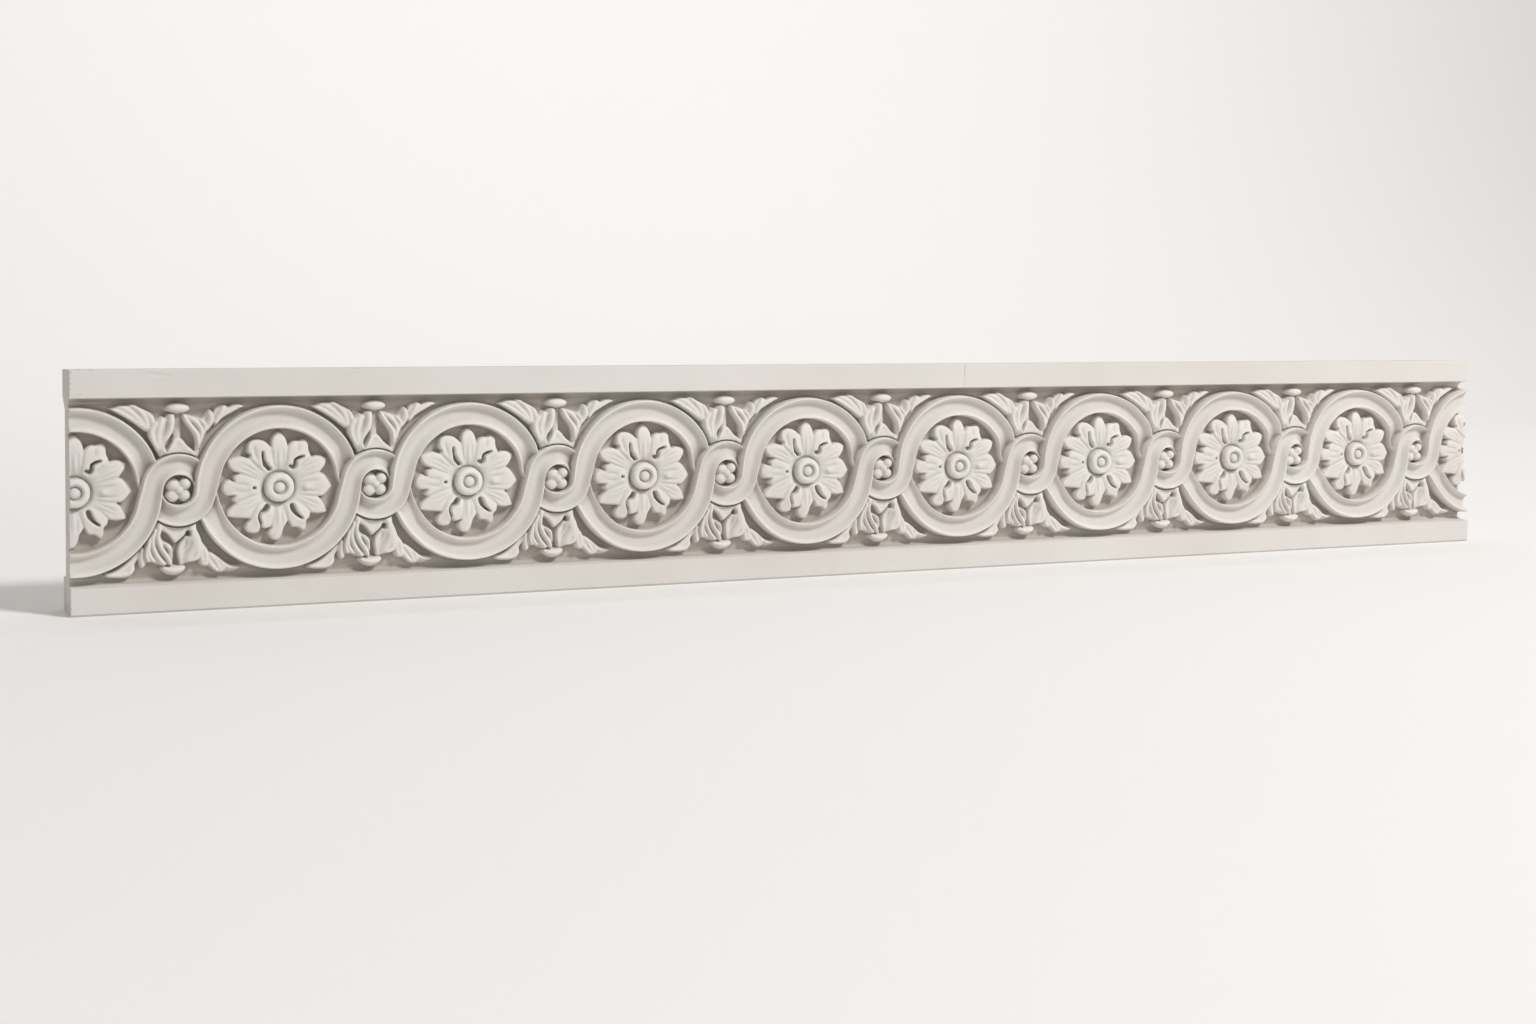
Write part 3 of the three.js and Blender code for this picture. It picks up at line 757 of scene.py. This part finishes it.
def lump(whole, at, half, rng):
    """Adds an uneven round lump to a mesh."""
    made = bmesh.ops.create_icosphere(whole, subdivisions=2, radius=1.0)["verts"]
    lean = rng.uniform(-FLAKE_LEAN, FLAKE_LEAN, (FLAKE_WAVES, 3))
    for v in made:
        swell = 1 + FLAKE_SWELL * float(np.sin(lean @ np.array(v.co) + lean[:, 0]).sum())
        v.co = Vector([a + h * swell * c for a, h, c in zip(at, half, v.co)])


def crack(whole, rng):
    """Adds the thin wedge of a hairline crack that runs down the upper fillet."""
    rows = []
    for i in range(CRACK_STEPS + 1):
        share = i / CRACK_STEPS
        z = HEIGHT + PAST_FACE - (FILLET_HEIGHT + PAST_FACE) * share
        x = CRACK_AT + rng.uniform(-CRACK_WANDER, CRACK_WANDER)
        half = CRACK_HALF * (1 - CRACK_TAPER * share)
        corners = ((-half, -PAST_FACE), (half, -PAST_FACE), (half, CRACK_DEPTH), (-half, CRACK_DEPTH))
        rows.append([whole.verts.new((x + across, y, z)) for across, y in corners])
    for first, second in zip(rows, rows[1:]):
        for k in range(4):
            whole.faces.new((first[k], first[k - 1], second[k - 1], second[k]))
    whole.faces.new(rows[0])
    whole.faces.new(rows[-1][::-1])


def carved_field(places):
    """Which places, in metres in the frame, lie in the carved field between the fillets."""
    along, depth, above = (places / MM).T
    between = np.abs(above - CENTRE_Z) < FIELD - ON_FACE
    before_ground = depth < RELIEF_DEPTH - THICKNESS / 2 + ON_FACE
    return between & before_ground & (np.abs(along) < LENGTH / 2 - ON_FACE)


def plain_outside(mesh):
    """Leaves the faces outside the carved field plain and flat, with no painted shade or highlight."""
    centres = np.empty(3 * len(mesh.polygons), np.float32)
    mesh.polygons.foreach_get("center", centres)
    mesh.polygons.foreach_set("use_smooth", carved_field(centres.reshape(-1, 3)))
    places = np.empty(3 * len(mesh.vertices), np.float32)
    mesh.vertices.foreach_get("co", places)
    clear = mesh.attributes["clear"].data
    values = np.empty(len(clear), np.float32)
    clear.foreach_get("value", values)
    # No painted shade or highlight outside the carved field
    values[~carved_field(places.reshape(-1, 3))] = CLEAR_LEVEL
    clear.foreach_set("value", values)


def worn(piece):
    """Takes the flakes, the ragged left arris and the crack out of the piece."""
    rng = np.random.default_rng(WEAR_SEED)
    lost = bmesh.new()
    for at, half in FLAKES:
        lump(lost, at, half, rng)
    for foot in (0.0, HEIGHT - FILLET_HEIGHT):
        for i in range(END_FLAKES):
            at = (0.0, 0.0, foot + (i + 0.5) * FILLET_HEIGHT / END_FLAKES)
            lump(lost, at, rng.uniform(*END_FLAKE_SHARE) * np.array(END_FLAKE), rng)
    crack(lost, rng)
    bmesh.ops.recalc_face_normals(lost, faces=lost.faces)
    lost.transform(PLACE)
    mesh = bpy.data.meshes.new("lost")
    lost.to_mesh(mesh)
    lost.free()
    tool = bpy.data.objects.new("lost", mesh)
    bpy.context.collection.objects.link(tool)
    cut = piece.modifiers.new("wear", "BOOLEAN")
    cut.operation = "DIFFERENCE"
    cut.solver = "MANIFOLD"
    cut.object = tool
    depsgraph = bpy.context.evaluated_depsgraph_get()
    made = bpy.data.meshes.new_from_object(piece.evaluated_get(depsgraph))
    made.materials.clear()
    made.set_sharp_from_angle(angle=SHARP)
    plain_outside(made)
    piece.modifiers.clear()
    piece.data = made
    bpy.data.objects.remove(tool)


# Material

# The plaster on level faces and the painted shade in hollows, beside the painted highlight on crests
LEVEL_TINT = (0.915, 0.913, 0.91)
HOLLOW_PAINTED_SHADE = (0.6, 0.57, 0.53)

# Clouding, speckle and roughness, each by the scale and detail of its noise and the shades at two
# values of it
CLOUDING = (9, 4, ((0.3, (0.725, 0.69, 0.655)), (0.7, (0.785, 0.755, 0.72))))
SPECKLE = (900, 3, ((0.35, (0.93, 0.925, 0.92)), (0.6, (1, 1, 1))))
ROUGHNESS = (60, 3, ((0.3, (0.8, 0.8, 0.8)), (0.7, (0.93, 0.93, 0.93))))
SPECKLE_SHARE = 0.5
PLASTER_SHEEN = 0.3

# Grain and shallow waves, each by the scale and detail of its noise, its strength and its height
# in metres
GRAIN = (700, 4, 0.25, 0.0002)
WAVES = (70, 3, 0.35, 0.0006)
NOISE_ROUGHNESS = 0.55


def plaster():
    """Dry off-white casting plaster, with painted shade in the hollows and a painted highlight on the
    crests.
    """
    material = bpy.data.materials.new("cast_plaster")
    material.use_nodes = True
    tree = material.node_tree
    nodes, links = tree.nodes, tree.links
    shader = nodes["Principled BSDF"]
    shader.inputs["Specular IOR Level"].default_value = PLASTER_SHEEN
    place = nodes.new("ShaderNodeTexCoord").outputs["Object"]

    def noise(scale, detail):
        node = nodes.new("ShaderNodeTexNoise")
        node.inputs["Scale"].default_value = scale
        node.inputs["Detail"].default_value = detail
        node.inputs["Roughness"].default_value = NOISE_ROUGHNESS
        links.new(place, node.inputs["Vector"])
        return node.outputs["Fac"]

    def ramp(source, stops):
        node = nodes.new("ShaderNodeValToRGB")
        elements = node.color_ramp.elements
        while len(elements) < len(stops):
            elements.new(0.5)
        for element, (position, shade) in zip(elements, stops):
            element.position = position
            element.color = (*shade, 1)
        links.new(source, node.inputs["Fac"])
        return node.outputs["Color"]

    def multiply(factor, first, second):
        node = nodes.new("ShaderNodeMix")
        node.data_type = "RGBA"
        node.blend_type = "MULTIPLY"
        node.inputs["Factor"].default_value = factor
        links.new(first, node.inputs["A"])
        links.new(second, node.inputs["B"])
        return node.outputs["Result"]

    def mottle(scale, detail, stops):
        return ramp(noise(scale, detail), stops)

    def bump(scale, detail, strength, height):
        node = nodes.new("ShaderNodeBump")
        node.inputs["Strength"].default_value = strength
        node.inputs["Distance"].default_value = height
        links.new(noise(scale, detail), node.inputs["Height"])
        return node

    colour = multiply(SPECKLE_SHARE, mottle(*CLOUDING), mottle(*SPECKLE))

    # Painted shade and highlight: the clear attribute darkens the hollows and whitens the crests
    clear = nodes.new("ShaderNodeAttribute")
    clear.attribute_name = "clear"
    stops = ((0, HOLLOW_PAINTED_SHADE), (CLEAR_LEVEL, LEVEL_TINT), (1, (1, 1, 1)))
    colour = multiply(1.0, colour, ramp(clear.outputs["Fac"], stops))
    links.new(colour, shader.inputs["Base Color"])

    links.new(mottle(*ROUGHNESS), shader.inputs["Roughness"])

    grain, waves = bump(*GRAIN), bump(*WAVES)
    links.new(grain.outputs["Normal"], waves.inputs["Normal"])
    links.new(waves.outputs["Normal"], shader.inputs["Normal"])
    return material


# Camera, floor and lights

# The camera as fitted to the photograph, in heights of the piece from its left end, front and foot
CAMERA_AT = (-0.8256, -8.5799, 1.1415)
CAMERA_YAW = 0.4282
CAMERA_DIP = 0.0221
CAMERA_LENS = 47.47
CAMERA_SHIFT = -0.0862
CAMERA_SENSOR = 36
CAMERA_REACH = 50

# The paper: its colour, half width, how far back and up it goes, and the radius of its bend
PAPER = (0.885, 0.87, 0.855)
PAPER_SURFACE = (0.9, 0.2)
PAPER_HALF = 6.0
PAPER_BACK = 3.2
PAPER_TOP = 4.0
PAPER_BEND = 1.6
BEND_STEPS = 16

# Lights: the room's colour and strength, and the places, targets, sizes and strengths of two lamps
ROOM_TINT = (1, 0.985, 0.965)
ROOM = 0.4
KEY = ((1.2, -2.3, 2.4), (0, 0, 0.05), (0.65, 0.65), 84.0)
BACKDROP = ((1.1, 1.0, 2.4), (1.1, 3.2, 0.9), (5.5, 0.8), 38.0)


def camera():
    """The camera of the photo, in front of the left end and slightly above the piece."""
    data = bpy.data.cameras.new("camera")
    data.lens = CAMERA_LENS
    data.sensor_width = CAMERA_SENSOR
    data.shift_y = CAMERA_SHIFT
    data.clip_end = CAMERA_REACH
    holder = bpy.data.objects.new("camera", data)
    bpy.context.collection.objects.link(holder)
    corner = Vector((-LENGTH / 2, -THICKNESS / 2, 0)) * MM
    holder.location = corner + Vector(CAMERA_AT) * HEIGHT * MM
    looking = Vector(
        (
            math.sin(CAMERA_YAW) * math.cos(CAMERA_DIP),
            math.cos(CAMERA_YAW) * math.cos(CAMERA_DIP),
            -math.sin(CAMERA_DIP),
        )
    )
    holder.rotation_euler = looking.to_track_quat("-Z", "Y").to_euler()
    bpy.context.scene.camera = holder


def plain(name, colour, roughness, sheen):
    """A material of one colour."""
    material = bpy.data.materials.new(name)
    material.use_nodes = True
    shader = material.node_tree.nodes["Principled BSDF"]
    shader.inputs["Base Color"].default_value = (*colour, 1)
    shader.inputs["Roughness"].default_value = roughness
    shader.inputs["Specular IOR Level"].default_value = sheen
    return material


def floor():
    """A sheet of pale paper that curves up behind the piece."""
    foot = PAPER_BACK - PAPER_BEND
    outline = [(-PAPER_HALF, 0.0), (foot, 0.0)]
    for i in range(1, BEND_STEPS + 1):
        turn = math.pi / 2 * i / BEND_STEPS
        outline.append((foot + PAPER_BEND * math.sin(turn), PAPER_BEND * (1 - math.cos(turn))))
    outline.append((PAPER_BACK, PAPER_TOP))
    verts = [(x, y, z) for y, z in outline for x in (-PAPER_HALF, PAPER_HALF)]
    faces = [(2 * i, 2 * i + 1, 2 * i + 3, 2 * i + 2) for i in range(len(outline) - 1)]
    mesh = bpy.data.meshes.new("floor")
    mesh.from_pydata(verts, [], faces)
    mesh.materials.append(plain("paper", PAPER, *PAPER_SURFACE))
    mesh.shade_smooth()
    sheet = bpy.data.objects.new("floor", mesh)
    bpy.context.collection.objects.link(sheet)


def area_light(name, at, target, size, power):
    """A rectangular lamp aimed at a target."""
    data = bpy.data.lights.new(name, "AREA")
    data.shape = "RECTANGLE"
    data.size, data.size_y = size
    data.energy = power
    lamp = bpy.data.objects.new(name, data)
    bpy.context.collection.objects.link(lamp)
    lamp.location = at
    aim = Vector(target) - Vector(at)
    lamp.rotation_euler = aim.to_track_quat("-Z", "Y").to_euler()


def lights():
    """An even studio room, a soft key from the upper right, and a light on the paper behind."""
    world = bpy.data.worlds.new("studio")
    bpy.context.scene.world = world
    world.use_nodes = True
    world.node_tree.nodes["Background"].inputs["Color"].default_value = (*ROOM_TINT, 1)
    world.node_tree.nodes["Background"].inputs["Strength"].default_value = ROOM
    area_light("key", *KEY)
    area_light("backdrop", *BACKDROP)
    bpy.context.scene.view_settings.view_transform = "Standard"


camera()
floor()
lights()
cast = moulding()
worn(cast)
cast.data.materials.append(plaster())
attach(cast, "root")
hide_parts(NODE)
